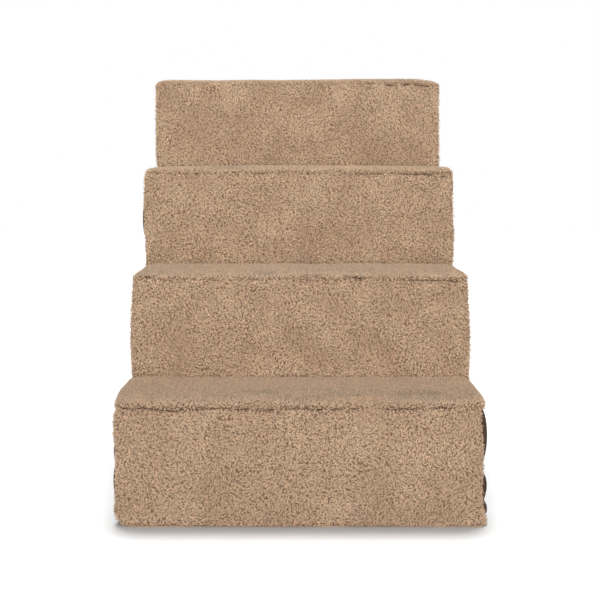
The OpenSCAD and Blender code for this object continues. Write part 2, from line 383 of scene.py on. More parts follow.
def fill_out(sewn: list[Sewn], frames: int = 20) -> None:
    """Runs one cloth simulation over every sewn panel, before any pile or thread is on them.

    Args:
        sewn: each panel with how it swells and the vertices that are held.
        frames: how many frames it runs.
    """
    for piece, swell, held in sewn:
        swell.hold(piece, held, frames)
    for moment in range(1, frames + 1):
        bpy.context.scene.frame_set(moment)
    for piece, swell, _ in sewn:
        swell.keep(piece)
    bpy.context.scene.frame_set(1)


@dataclass(frozen=True)
class FleecePile:
    """Polyester berber fleece, knitted and brushed into curls: matt, with pale tips and painted shade
    darkening each curl towards its root.
    """

    tip: str = "F0D2B2"
    patch: str = "E6C6A6"
    # root: painted shade deep in the pile, where the curls shadow each other.
    root: str = "68442A"
    patch_mm: float = 40.0
    shades: Pair = (0.74, 1.21)
    root_shade_fade: Pair = (0.2, 0.65)

    def material(self) -> Material:
        """Colour runs from a painted root shade to the tip colour and varies from curl to curl; trodden pile
        loses most of the painted root shade.
        """
        made, tree, shader = start_material(
            "berber_fleece_pile", Roughness=0.95, Sheen_Weight=0.1, Specular_IOR_Level=0.15
        )
        curl, tip, loft = (
            add_node(tree, "ShaderNodeAttribute", attribute_name=name).outputs["Fac"]
            for name in ("curl", "tip", "loft")
        )
        patch = add_texture(tree, "ShaderNodeTexNoise", self.patch_mm, {"Detail": 3.0})
        body = blend(tree, patch, self.patch, self.tip, (0.35, 0.65))
        varied = shade(tree, body, curl, self.shades)
        # Painted shade: each curl darkens from the tip colour to the root colour over this share of its
        # length.
        start, full = self.root_shade_fade
        pale = add_node(tree, "ShaderNodeMapRange", {0: tip, 1: start, 2: full})
        # Painted light: where the pile is trodden flat most of the painted root shade is lifted, so the tread
        # tops take the paler tip colour.
        laid = add_node(tree, "ShaderNodeMapRange", {0: loft, 1: 0.8, 2: 0.35, 3: 0.0, 4: 0.8})
        pale = add_node(tree, "ShaderNodeMath", {0: pale, 1: laid}, operation="MAXIMUM")
        colours = {0: pale, 6: linear(self.root), 7: varied}
        colour = add_node(tree, "ShaderNodeMix", colours, data_type="RGBA").outputs[2]
        set_inputs(tree, shader, {"Base Color": colour})
        return made


@dataclass(frozen=True)
class KnitBacking:
    """The knitted ground under the curls, matt with fine stitches, in painted shade: darker than the pile,
    darkest in open seams.
    """

    # colour and dark: the stitches, both darker than the pile as painted shade between the curls.
    colour: str = "9A7D64"
    dark: str = "7A5E48"
    # deep: painted shade at the bottom of an open seam, where the pile parts.
    deep: str = "3C2A1E"
    stitch_mm: float = 1.6

    def material(self) -> Material:
        """Fine cells for the stitches, drawn coarse enough to show between the curls."""
        made, tree, shader = start_material("knit_backing", Roughness=0.95, Specular_IOR_Level=0.1)
        cells = add_texture(tree, "ShaderNodeTexVoronoi", self.stitch_mm)
        colour = blend(tree, cells, self.colour, self.dark)
        # Painted shade: the "depth" attribute, 1 over an open seam, darkens the backing towards the deep
        # colour.
        depth = add_node(tree, "ShaderNodeAttribute", attribute_name="depth").outputs["Fac"]
        colours = {0: depth, 6: colour, 7: linear(self.deep)}
        sunk = add_node(tree, "ShaderNodeMix", colours, data_type="RGBA").outputs[2]
        set_inputs(tree, shader, {"Base Color": sunk})
        return made


@dataclass(frozen=True)
class FauxSuede:
    """Brushed polyester microfibre: dark, dull, with a velvet sheen and a nap that lies in patches."""

    colour: str = "493529"
    stroked: str = "544034"
    sheen: str = "B79A86"
    nap_mm: float = 38.0
    grain_mm: float = 0.9
    bump_mm: float = 0.25

    def material(self) -> Material:
        """Stroked patches in the colour, and the short nap as fine grain and bump."""
        made, tree, shader = start_material(
            "brushed_faux_suede",
            Sheen_Weight=0.45,
            Sheen_Roughness=0.35,
            Sheen_Tint=linear(self.sheen),
            Specular_IOR_Level=0.2,
        )
        nap = add_texture(tree, "ShaderNodeTexNoise", self.nap_mm, {"Detail": 4.0, "Distortion": 0.6})
        grain = add_texture(tree, "ShaderNodeTexNoise", self.grain_mm, {"Detail": 2.0})
        colour = blend(tree, nap, self.colour, self.stroked, (0.38, 0.66))
        grained = shade(tree, colour, grain, (0.82, 1.16), (0.3, 0.7))
        dull = add_node(tree, "ShaderNodeMapRange", {0: nap, 3: 0.98, 4: 0.8})
        relief = {"Height": grain, "Strength": 0.5, "Distance": self.bump_mm * MM}
        bump = add_node(tree, "ShaderNodeBump", relief)
        set_inputs(tree, shader, {"Base Color": grained, "Roughness": dull, "Normal": bump})
        return made


@dataclass(frozen=True)
class SpunThread:
    """Spun polyester sewing thread: dark, with a low shine and its twist as slanting bands."""

    name: str = "spun_topstitch_thread"
    colour: str = "6E5443"
    twist_mm: float = 0.7

    def material(self) -> Material:
        """Slanting bands for the twist."""
        made, tree, shader = start_material(self.name, Roughness=0.6, Sheen_Weight=0.2)
        # About one band per twist, as a wave texture has one per 2 pi / 20 of its scaled length.
        twist = add_texture(tree, "ShaderNodeTexWave", self.twist_mm / 0.3, bands_direction="DIAGONAL")
        colour = shade(tree, linear(self.colour)[:3], twist.outputs["Fac"], (0.75, 1.15))
        set_inputs(tree, shader, {"Base Color": colour})
        return made


@dataclass(frozen=True)
class MouldedPlastic:
    """An injection-moulded plastic: one colour with faint flow clouds and a fine spark-eroded grain."""

    name: str
    colour: str
    cloudy: str
    dullness: float
    grain_mm: float = 0.8
    cloud_mm: float = 60.0
    bump_mm: float = 0.04
    uneven: float = 0.08

    def material(self) -> Material:
        """Clouds in the colour, and the mould's grain in roughness and bump."""
        made, tree, shader = start_material(self.name, Specular_IOR_Level=0.45)
        cloud = add_texture(tree, "ShaderNodeTexNoise", self.cloud_mm, {"Detail": 3.0})
        grain = add_texture(tree, "ShaderNodeTexNoise", self.grain_mm, {"Detail": 1.0})
        colour = blend(tree, cloud, self.colour, self.cloudy)
        low, high = self.dullness - self.uneven, self.dullness + self.uneven
        dull = add_node(tree, "ShaderNodeMapRange", {0: grain, 1: 0.3, 2: 0.7, 3: low, 4: high})
        relief = {"Height": grain, "Strength": 0.3, "Distance": self.bump_mm * MM}
        bump = add_node(tree, "ShaderNodeBump", relief)
        set_inputs(tree, shader, {"Base Color": colour, "Roughness": dull, "Normal": bump})
        return made


@dataclass(frozen=True)
class PaintedZinc:
    """Die-cast zinc with dark bronze paint, rubbed through to bright metal in small worn spots."""

    paint: str = "3A2C22"
    metal: str = "9A8C78"
    wear_mm: float = 3.0

    def material(self) -> Material:
        """Paint nearly everywhere, and metal where the wear noise peaks."""
        made, tree, shader = start_material("painted_zinc_casting", Coat_Weight=0.15)
        wear = add_texture(tree, "ShaderNodeTexNoise", self.wear_mm, {"Detail": 5.0})
        worn = add_node(tree, "ShaderNodeMapRange", {0: wear, 1: 0.6, 2: 0.68})
        colour = blend(tree, worn, self.paint, self.metal)
        dull = add_node(tree, "ShaderNodeMapRange", {0: worn, 3: 0.38, 4: 0.28})
        set_inputs(tree, shader, {"Base Color": colour, "Metallic": worn, "Roughness": dull})
        return made


@dataclass(frozen=True)
class RibbedTextile:
    """A narrow woven or knitted band, such as zip tape or elastic: ribs across it and a dull thread."""

    name: str
    colour: str
    light: str
    rib_mm: float
    direction: str
    relief_mm: float = 0.2

    def material(self) -> Material:
        """Ribs as a wave in the colour and the bump."""
        made, tree, shader = start_material(
            self.name, Roughness=0.8, Sheen_Weight=0.25, Specular_IOR_Level=0.25
        )
        # A wave texture has one band per 2 pi / 20 of its scaled length.
        wave = add_texture(
            tree,
            "ShaderNodeTexWave",
            self.rib_mm * 10 / math.pi,
            {"Distortion": 0.4, "Detail": 1.0},
            bands_direction=self.direction,
        ).outputs["Fac"]
        colour = blend(tree, wave, self.colour, self.light)
        relief = {"Height": wave, "Strength": 0.6, "Distance": self.relief_mm * MM}
        bump = add_node(tree, "ShaderNodeBump", relief)
        set_inputs(tree, shader, {"Base Color": colour, "Normal": bump})
        return made


@dataclass
class Curls:
    """The looped pile of the fleece: short bent locks, scattered over a panel and made one with it."""

    length: float = 5.0 * MM
    width: float = 1.42 * MM
    sink: float = 1.2 * MM
    pitch: float = 0.85 * MM
    bends: tuple[float, ...] = (0.5 * MM, 1.0 * MM, 1.6 * MM)
    lean: float = 2.0
    whorl: float = 40 * MM
    flow: float = 4.5
    stray: float = 0.9
    away: float = -0.5
    room: float = 0.6
    smallest: tuple[float, float, float] = (0.8, 0.8, 0.75)
    largest: tuple[float, float, float] = (1.25, 1.25, 1.2)
    floor: float = 0.2 * MM
    locks: Collection | None = None

    def lock(self, bend: float, material: Material) -> Object:
        """One lock of pile, upright at the origin.

        Args:
            bend: how far its tip leans over.
            material: the pile's material.

        Returns:
            A closed mesh of 6 triangles with the attribute "tip", 0 at its root and 1 at its end.
        """
        bm = bmesh.new()
        tip = bm.verts.layers.float.new("tip")
        bmesh.ops.create_uvsphere(bm, u_segments=3, v_segments=2, radius=0.5)
        for v in bm.verts:
            share = v.co.z + 0.5
            v[tip] = share
            v.co.x = v.co.x * self.width + bend * share**2
            v.co.y *= self.width
            v.co.z = self.length * share - self.sink
        return add_object(f"lock_{bend / MM:.1f}", bm, material)

    def prepare(self, material: Material) -> None:
        """Makes the few locks that every panel shares."""
        self.locks = bpy.data.collections.new("locks")
        for bend in self.bends:
            made = self.lock(bend, material)
            bpy.context.scene.collection.objects.unlink(made)
            self.locks.objects.link(made)

    def tree(self, seed: int, out: Vector) -> NodeTree:
        """The node group that scatters locks over a panel's outer faces.

        Args:
            seed: the panel's own seed.
            out: the direction that the panel faces; faces turned away from it stay bare.

        Returns:
            The geometry node group.
        """
        tree = bpy.data.node_groups.new("fleece_pile", "GeometryNodeTree")
        for way in ("INPUT", "OUTPUT"):
            tree.interface.new_socket("Geometry", in_out=way, socket_type="NodeSocketGeometry")
        panel = add_node(tree, "NodeGroupInput")
        nap, loft = (
            add_node(tree, "GeometryNodeInputNamedAttribute", {"Name": name}, data_type="FLOAT")
            for name in ("nap", "loft")
        )
        normal = add_node(tree, "GeometryNodeInputNormal")
        facing = add_node(tree, "ShaderNodeVectorMath", {0: normal, 1: out}, operation="DOT_PRODUCT")
        turned_up = {0: facing.outputs[1], 1: self.away}
        shown = add_node(tree, "FunctionNodeCompare", turned_up, operation="GREATER_THAN")
        spots = add_node(
            tree,
            "GeometryNodeDistributePointsOnFaces",
            {0: panel, 1: shown, 2: self.pitch, 3: 1 / (self.room * self.pitch**2), 5: nap, 6: seed},
            distribute_method="POISSON",
        )
        place = add_node(tree, "GeometryNodeInputPosition")
        eddies = {"Vector": place, "Scale": 1 / self.whorl, "Detail": 1.0}
        whorl = add_node(tree, "ShaderNodeTexNoise", eddies).outputs[1]
        spread = {0: (-self.stray,) * 3, 1: (self.stray,) * 3, 8: seed + 1}
        stray = add_node(tree, "FunctionNodeRandomValue", spread, data_type="FLOAT_VECTOR")
        lean = work_out(tree, whorl, ("SUBTRACT", (0.5, 0.5, 0.5)), ("SCALE", self.flow), ("ADD", stray))
        upright = spots.outputs[1]
        rise = work_out(tree, upright, ("CROSS_PRODUCT", lean), ("SCALE", self.lean), ("ADD", upright))
        turned = add_node(tree, "FunctionNodeAlignRotationToVector", {2: rise}, axis="Z")
        spin = add_node(tree, "FunctionNodeRandomValue", {2: 0.0, 3: math.tau, 8: seed + 2}).outputs[1]
        spin = add_node(tree, "ShaderNodeCombineXYZ", {2: spin})
        spin = add_node(tree, "FunctionNodeEulerToRotation", {0: spin})
        turned = add_node(tree, "FunctionNodeRotateRotation", {0: turned, 1: spin}, rotation_space="LOCAL")
        sizes = {0: self.smallest, 1: self.largest, 8: seed + 3}
        size = add_node(tree, "FunctionNodeRandomValue", sizes, data_type="FLOAT_VECTOR")
        tall = add_node(tree, "ShaderNodeCombineXYZ", {0: 1.0, 1: 1.0, 2: loft})
        size = work_out(tree, size, ("MULTIPLY", tall))
        kinds = add_node(tree, "GeometryNodeCollectionInfo", {0: self.locks, 1: True, 2: True})
        laid = {0: spots, 2: kinds, 3: True, 5: turned, 6: size}
        pile = add_node(tree, "GeometryNodeInstanceOnPoints", laid)
        curl = add_node(tree, "FunctionNodeRandomValue", {8: seed + 4}).outputs[1]
        pile = add_node(
            tree,
            "GeometryNodeStoreNamedAttribute",
            {0: pile, 2: "curl", 3: curl},
            data_type="FLOAT",
            domain="INSTANCE",
        )
        pile = add_node(tree, "GeometryNodeRealizeInstances", {0: pile})
        whole = add_node(tree, "GeometryNodeJoinGeometry", {0: pile})
        set_inputs(tree, whole, {0: panel})
        add_node(tree, "NodeGroupOutput", {0: whole})
        return tree

    def grow(self, piece: Object, seed: int, out: Vector) -> None:
        """Covers a panel with locks and keeps them in its mesh.

        Args:
            piece: the panel, with the attribute "nap" for how thickly the pile stands.
            seed: the panel's own seed.
            out: the direction that the panel faces.
        """
        modifier = piece.modifiers.new("pile", "NODES")
        modifier.node_group = self.tree(seed, out)
        depsgraph = bpy.context.evaluated_depsgraph_get()
        grown = piece.evaluated_get(depsgraph)
        covered = bpy.data.meshes.new_from_object(grown, preserve_all_data_layers=True, depsgraph=depsgraph)
        piece.modifiers.clear()
        piece.data = covered
        for v in covered.vertices:
            v.co.z = max(v.co.z, self.floor)
        covered.shade_smooth()


@dataclass(frozen=True)
class Seam:
    """The seam along one nosing: where its pile parts, and how far it strays up or down.

    All places and values are millimetres, from the middle of the stairs and from the step's own level.
    """

    dashes: Table
    stray: Table
    wander: float = 1.8
    wave: float = 30.0
    flutter: float = 0.6

    def line(self, a: float) -> float:
        """Height of the seam above the step's level, in metres, at a place across the stairs."""
        place = Vector((a / MM / self.wave, self.stray[0][1], 0.5))
        wave = noise.noise(place) + self.flutter * noise.noise(place * 3)
        return (between(self.stray, a / MM) + self.wander * wave) * MM

    def open(self, a: float) -> float:
        """1 where the pile parts over the seam, and 0 where it hides it."""
        return 1.0 if any(x0 < a / MM < x1 for x0, x1 in self.dashes) else 0.0


SEAMS = {
    1: Seam(
        dashes=(
            *((-192, -122), (-119, -97), (-94, -72), (-66, -53), (-49, -20), (-16, 0)),
            *((2, 27), (31, 46), (50, 64), (89, 131), (137, 164)),
        ),
        stray=((-200, 0.4), (-165, 1.6), (-140, -0.6), (0, 0.2), (155, 0.6), (200, 3)),
    ),
    2: Seam(
        dashes=((-192, -167), (-111, -87), (2, 36), (54, 81), (128, 188)),
        stray=((-200, 4), (-150, 6), (-90, 8), (30, 6), (90, 4), (150, 1.5), (184, 0), (200, -6)),
    ),
    3: Seam(
        dashes=((-60, -45), (73, 108), (125, 177), (182, 192)),
        stray=((-200, -2), (-120, 1), (60, 1.5), (160, 1), (200, -4)),
    ),
    4: Seam(dashes=((122, 140), (146, 158), (162, 186)), stray=((-200, 0), (130, -1.5), (200, -1.5))),
}


@dataclass
class FleecePanel:
    """One padded fleece panel, a tread or a riser, with its pile."""

    kind: Face
    step: int
    drift_left: Table = ((0, 0), (1, 0))
    drift_right: Table = ((0, 0), (1, 0))
    ends_mm: Pair = (9, 9)
    cell: float = 6 * MM
    seam_cell: float = 4 * MM
    crown: float = 1.4 * MM
    sunk: float = 1.0 * MM
    nosing: float = 11 * MM
    seam: float = 3 * MM
    seam_zone: float = 10 * MM
    corner: float = 7 * MM
    uneven: float = 0.7 * MM
    ripple: float = 55 * MM
    parting: float = 1.05 * MM
    verge: float = 2.8 * MM
    shorn: float = 0.6
    groove: float = 1.4 * MM
    flat_loft: float = 0.35
    nose_loft: float = 1.0
    raised: float = 18 * MM
    brushed: float = 50 * MM
    hang: float = 1.2 * MM
    back_rise: float = 0.0
    flare: float = 0.0
    flare_reach: float = 26 * MM
    rim_share: float = 0.4
    bare: float = 0.35
    apart: float = 0.31
    fill: float = 0.7
    swell: float = 1.2 * MM
    sag: Table = ((-200, 0), (200, 0))

    @property
    def node(self) -> str:
        """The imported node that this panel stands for."""
        return f"{self.kind.value}_fleece_{self.step}"

    @property
    def is_tread(self) -> bool:
        """Whether this is a tread."""
        return self.kind is Face.TREAD

    def measure(self) -> None:
        """Reads the panel's seat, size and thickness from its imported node."""
        low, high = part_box(self.node)
        if self.is_tread:
            front = low.y + self.sunk
            self.seat = Matrix(((1, 0, 0, 0), (0, 1, 0, front), (0, 0, 1, low.z), (0, 0, 0, 1)))
            self.length, thick = high.y - front, high.z - low.z - self.sunk
        else:
            self.seat = Matrix(((1, 0, 0, 0), (0, 0, -1, high.y), (0, 1, 0, low.z), (0, 0, 0, 1)))
            self.length, thick = high.z - low.z, high.y - low.y
        self.half = (high.x - low.x) / 2
        self.out = self.seat.to_3x3() @ Vector((0, 0, 1))
        self.thick = thick - self.crown
        self.rim = self.rim_share * self.thick
        last = self.step == STEPS
        self.near = self.nosing if self.is_tread else (self.seam / 2 if self.step == 1 else 0.0)
        self.far = self.nosing if self.is_tread and last else 0.0
        self.shown = self.length
        if self.is_tread and not last:
            next_low, next_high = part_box(f"riser_fleece_{self.step + 1}")
            self.shown = self.length - (next_high.y - next_low.y)

    def ends(self, b: float) -> Pair:
        """Left and right ends of the panel at a distance along it."""
        share = b / self.length
        tuck = 0.0
        if self.is_tread:
            tuck = self.corner * (1 - roll(b, self.corner))
            if self.step == STEPS:
                tuck = max(tuck, self.corner * (1 - roll(self.length - b, self.corner)))
        left = -self.half + tuck + between(self.drift_left, share) * MM
        right = self.half - tuck + between(self.drift_right, share) * MM
        return left, right

    def parted(self, a: float, b: float, rise: float, width: float) -> float:
        """How near a point is to a stretch of open seam, from 0 to 1.

        Args:
            a: its place across the stairs.
            b: its distance along the panel.
            rise: its height above the panel's back, which on a tread is the step's level.
            width: how far from the seam this falls to about a third.
        """
        seam = SEAMS[self.step]
        if self.is_tread:
            off = math.hypot(rise - seam.line(a), b - self.brow(seam.line(a))) / width
        else:
            off = (b - self.length - seam.line(a)) / width
        return seam.open(a) * math.exp(-off * off)

    def brow(self, level: float) -> float:
        """Distance along a tread at which its rounded nosing reaches a height above the step's level."""
        share = min(1.0, max(0.0, (level - self.rim) / (self.thick - self.rim)))
        return self.nosing * (1 - math.sqrt(1 - share * share))

    def height(self, a: float, b: float, left: float, right: float) -> float:
        """Height of the padding above the panel's back."""
        ends = [e * MM for e in self.ends_mm]
        edge = min(roll(a - left, ends[0]), roll(right - a, ends[1]))
        near = roll(b, self.near) if self.near else 1.0
        far = roll(self.length - b, self.far) if self.far else 1.0
        edge *= near * far
        swell = self.crown * hump((a - left) / (right - left)) * hump(b / self.length)
        wave = noise.noise(Vector((a, b, self.step * self.apart + self.length)) / self.ripple)
        back = self.back_rise * MM * min(1.0, b / self.length)
        foot = self.flare * MM * max(0.0, 1 - b / self.flare_reach) ** 2 * edge
        settled = between(self.sag, a / MM) * MM
        padding = self.rim + (self.thick - self.rim) * edge + swell
        return padding + back + foot + settled + self.uneven * wave * edge

    def loft(self, b: float) -> float:
        """How tall the pile stands; on a tread it is trodden down behind the nosing."""
        if not self.is_tread:
            return 1.0
        trodden = min(1.0, max(0.0, b - self.raised) / self.brushed)
        return self.nose_loft - (self.nose_loft - self.flat_loft) * trodden

    def sew(self, finishes: Finishes) -> Sewn:
        """Models the padded panel without its pile.

        Args:
            finishes: the materials by name.

        Returns:
            The piece, how it swells and the vertices that are held.
        """
        self.measure()
        reach = max(self.ends_mm) * MM
        across = [x / (2 * self.half) for x in stations(2 * self.half, reach, reach, self.seam_cell)]
        close = (self.near, self.far) if self.is_tread else (self.near, self.seam_zone)
        along = stations(self.length, *close, self.cell, arc=9)
        bm = grid_sheet(across, along)
        nap, loft, depth = (bm.verts.layers.float.new(n) for n in ("nap", "loft", "depth"))
        for v in bm.verts:
            left, right = self.ends(v.co.y)
            a, b = left + (right - left) * v.co.x, v.co.y
            rise = self.height(a, b, left, right)
            # depth sinks the open seam and also paints shade on the knit backing there.
            v[depth] = self.parted(a, b, rise, self.parting)
            v[nap] = 0.0 if b > self.shown + self.cell / 10 or v[depth] > self.bare else 1.0
            v[loft] = self.loft(b) * (1 - self.shorn * self.parted(a, b, rise, self.verge))
            drop = self.hang * (1 - b / self.length) if self.near and not self.is_tread else 0.0
            v.co = self.seat @ Vector((a, b - drop, rise - self.groove * v[depth]))
        rim = [e for e in bm.edges if e.is_boundary]
        skirt = bmesh.ops.extrude_edge_only(bm, edges=rim)["geom"]
        sewn = [v for v in skirt if isinstance(v, BMVert)]
        for v in sewn:
            if self.is_tread and self.parted(v.co.x, 0, 0, self.parting) > self.bare:
                v[nap] = 0.0
            v.co -= self.out * (v.co - self.seat.translation).dot(self.out)
        bmesh.ops.edgeloop_fill(bm, edges=[e for e in skirt if isinstance(e, BMEdge)])
        bmesh.ops.recalc_face_normals(bm, faces=bm.faces)
        bm.verts.index_update()
        held = [v.index for v in sewn] + [v.index for e in rim for v in e.verts]
        self.piece = add_object(f"{self.kind.value}_pad_{self.step}", bm, finishes["knit"], finishes["pile"])
        return self.piece, Swell(cap=self.swell), held

    def dress(self, curls: Curls) -> None:
        """Covers the panel with pile and seats it."""
        curls.grow(self.piece, 10 * self.step + (0 if self.is_tread else 5), self.out)
        seat(self.piece, self.node)


def fleece_panels() -> list[FleecePanel]:
    """The eight fleece panels, each with the small drifts of its ends as it was sewn."""
    return [
        FleecePanel(
            Face.RISER,
            1,
            drift_left=(
                *((0, 9), (0.02, 5.5), (0.05, 2.2), (0.1, 0), (0.5, 0.4)),
                *((0.68, 0.4), (0.78, -1.6), (0.93, -1.6), (1, 1)),
            ),
            drift_right=(
                *((0, 1), (0.03, 2.5), (0.08, 1.5), (0.13, -1.5), (0.35, -2.2)),
                *((0.48, -1.4), (0.6, -1), (0.74, -2), (0.86, -4), (1, -2.5)),
            ),
            flare=8.5,
        ),
        FleecePanel(
            Face.TREAD,
            1,
            drift_left=((0, 1), (0.12, -1), (0.33, -4), (0.55, -5.5), (0.8, -3.5), (1, -2)),
            drift_right=((0, -1), (0.12, 2), (0.33, 4.5), (0.6, 4.5), (1, 3)),
            back_rise=4.0,
        ),
        FleecePanel(
            Face.RISER,
            2,
            drift_left=((0, 1.5), (0.15, 0), (0.4, -1.2), (0.7, 0), (0.9, 2), (1, 2.5)),
            drift_right=((0, 2.5), (0.3, 4), (0.5, 4.5), (0.75, 2.5), (1, 1)),
        ),
        FleecePanel(
            Face.TREAD,
            2,
            drift_left=((0, 3), (0.3, 1), (1, 1)),
            drift_right=((0, 1), (0.4, 3), (1, 1)),
            ends_mm=(12, 9),
            back_rise=1.8,
        ),
        FleecePanel(
            Face.RISER,
            3,
            drift_left=((0, 2), (0.15, 1), (0.4, 0), (0.8, -1), (1, 0)),
            drift_right=((0, 1.5), (0.15, 2.5), (0.3, 3.5), (0.6, 2), (1, 0.5)),
        ),
        FleecePanel(Face.TREAD, 3, drift_left=((0, 2), (1, 1)), ends_mm=(21, 9), back_rise=1.8),
        FleecePanel(
            Face.RISER, 4, drift_left=((0, 2), (0.15, 0), (1, 0)), drift_right=((0, 0), (0.6, 0), (1, -0.5))
        ),
        FleecePanel(
            Face.TREAD,
            4,
            drift_left=((0, 2), (1, 2)),
            drift_right=((0, -1), (1, -2)),
            ends_mm=(16, 9),
            nose_loft=0.6,
            sag=(
                *((-200, -1.4), (-110, -2.4), (40, -1.6), (120, -0.4)),
                *((158, -0.2), (172, -0.6), (186, -2.6), (200, -5)),
            ),
        ),
    ]


@dataclass(frozen=True)
class Pucker:
    """A place where the side panel bulges past the fleece between two tacks of the seam, in millimetres."""

    low: float
    high: float
    bulge: float
    step: int = 1
    fullness: float = 0.7

    def lift(self, z: float) -> float:
        """How far it lifts the panel at a height above the floor."""
        share = (z / MM - self.low) / (self.high - self.low)
        return self.bulge * MM * hump(share) ** self.fullness if 0 < share < 1 else 0.0


@dataclass
class StitchRow:
    """A straight row of lockstitch, laid on a sewn panel."""

    length: float = 2.9 * MM
    gap: float = 0.9 * MM
    thread: float = 0.55 * MM
    proud: float = 0.0

    def along(self, start: Vector, stop: Vector) -> Runs:
        """Middles and directions of the stitches from one point to another."""
        run = stop - start
        count = max(1, round(run.length / (self.length + self.gap)))
        return [(start + run * (i + 0.5) / count, run.normalized()) for i in range(count)]

    def sew(self, name: str, panels: list[Object], runs: Runs, inward: Vector, thread: Material) -> Object:
        """Lays stitches on the faces of panels.

        Args:
            name: the name of the row's object.
            panels: the panels that they lie on.
            runs: start and end points of the rows, a little outside the panels.
            inward: the direction from there to the panels.
            thread: their material.

        Returns:
            One object with every stitch.
        """
        depsgraph = bpy.context.evaluated_depsgraph_get()
        grounds = [BVHTree.FromObject(panel, depsgraph) for panel in panels]
        stitch = bpy.data.meshes.new("stitch")
        one = bmesh.new()
        bmesh.ops.create_uvsphere(one, u_segments=6, v_segments=3, radius=0.5)
        one.to_mesh(stitch)
        one.free()
        bm = bmesh.new()
        for start, stop in runs:
            for middle, course in self.along(start, stop):
                hits = [hit for hit in (ground.ray_cast(middle, inward) for ground in grounds) if hit[0]]
                if not hits:
                    continue
                spot = min(hits, key=lambda hit: hit[3])[0] - inward * self.proud
                turn = course.to_track_quat("Z", "Y").to_matrix().to_4x4()
                size = Matrix.Diagonal((self.thread, self.thread, self.length, 1))
                laid = stitch.copy()
                laid.transform(Matrix.Translation(spot) @ turn @ size)
                bm.from_mesh(laid)
                bpy.data.meshes.remove(laid)
        bpy.data.meshes.remove(stitch)
        return add_object(name, bm, thread)


@dataclass
class NosingSeam:
    """The dark overlock thread that shows along a nosing wherever the pile parts."""

    riser: FleecePanel
    tread: FleecePanel
    stride: float = 2.6 * MM
    thread: float = 0.75 * MM
    proud: float = 1.4 * MM

    def runs(self) -> Runs:
        """Short steps along every open stretch of the seam."""
        seam, low = SEAMS[self.tread.step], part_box(self.tread.node)[0]
        steps = []
        for start, stop in seam.dashes:
            count = max(1, round((stop - start) * MM / self.stride))
            places = [(start + (stop - start) * i / count) * MM for i in range(count + 1)]
            spots = [Vector((x, low.y - self.tread.nosing, low.z + seam.line(x))) for x in places]
            steps += list(zip(spots, spots[1:]))
        return steps

    def build(self, thread: Material) -> None:
        """Lays the thread on the bare panels, before their pile grows round it."""
        panels, name = [self.riser.piece, self.tread.piece], f"nosing_seam_{self.tread.step}"
        row = StitchRow(thread=self.thread, proud=self.proud)
        seat(row.sew(name, panels, self.runs(), Vector((0, 1, 0)), thread))


@dataclass
class SuedePanel:
    """A suede panel of the cover: a sheet with a thickness, sewn down round its edge and topstitched."""

    side: Side
    cell: float = 6.2 * MM
    shrink: float = -0.01

    @property
    def name(self) -> str:
        """The side's name, as it stands in the names of nodes and pieces."""
        return self.side.name.lower()

    def thicken(self, bm: BMesh, axis: int, inner: float) -> tuple[list[BMVert], list[int]]:
        """Gives a sheet that lies at its outer face its thickness.

        Args:
            bm: the sheet.
            axis: the number of the axis across it.
            inner: the place of its inner face on that axis.

        Returns:
            The vertices of the outer face, and the indices of the held ones: the inner face and the edge.
        """
        face = list(bm.verts)
        edge = {v for e in bm.edges if e.is_boundary for v in e.verts}
        back = add_back(bm)
        for v in back:
            v.co[axis] = inner
        bmesh.ops.recalc_face_normals(bm, faces=bm.faces)
        bm.verts.index_update()
        return face, [v.index for v in (*back, *edge)]

    def finish(self, kind: str, flat: Pair, area: float, rows: Runs, thread: Material) -> None:
        """Topstitches the panel and seats it.

        Args:
            kind: "side" or "back".
            flat: the sides of the rectangle that it is cut from.
            area: how much of that is cloth.
            rows: start and end points of its topstitch.
            thread: the thread's material.
        """
        inward = Vector((-self.side.value, 0, 0)) if kind == "side" else Vector((0, -1, 0))
        stitches = StitchRow().sew(f"topstitch_{kind}_{self.name}", [self.piece], rows, inward, thread)
        node = f"{self.name}_side_cover" if kind == "side" else f"back_cover_{self.name}"
        how = {"held": "stretched", "area": area, "with_pieces": [stitches]}
        seat_sheet(self.piece, "brown_suede", node, flat, **how)
        seat(stitches)


